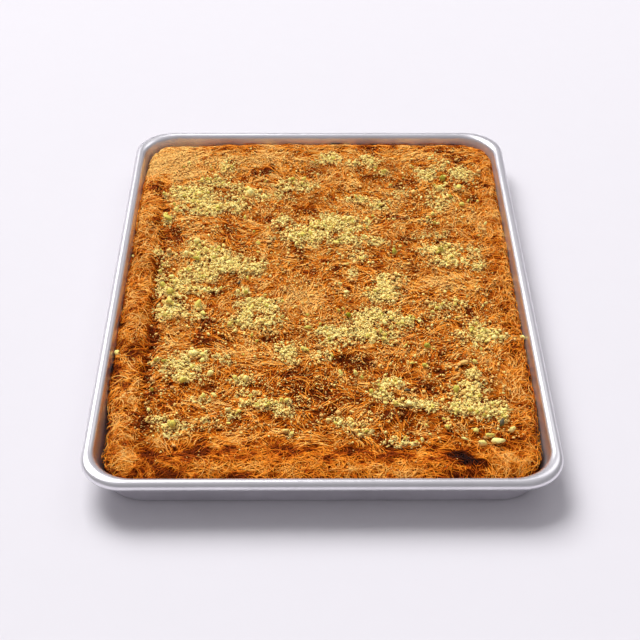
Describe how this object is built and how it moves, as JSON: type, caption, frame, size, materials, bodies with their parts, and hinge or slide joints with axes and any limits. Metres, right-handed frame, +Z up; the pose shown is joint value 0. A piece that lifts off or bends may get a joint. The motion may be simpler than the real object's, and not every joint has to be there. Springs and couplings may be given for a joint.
{
  "type": "kunafa in a baking tray",
  "caption": "Baked shredded-pastry sweet with ground pistachio on top, filling a shallow rectangular aluminium sheet tray with flared walls and a rolled rim.",
  "frame": {"origin": "middle of the tray's flat underside, on the surface that the tray stands on", "axes": "+Z up, +Y along the tray's long side away from the viewer, +X across the tray to the right"},
  "size_m": [0.331, 0.46, 0.03],
  "materials": {
    "aluminium": "satin sheet metal, bright on the rolled rim",
    "baked_pastry": "golden to brown shredded crust with dry pale green pistachio crumbs, slightly glossy with syrup"
  },
  "bodies": {
    "root": {"tray": "aluminium", "kunafa": "baked_pastry"}
  },
  "joints": []
}
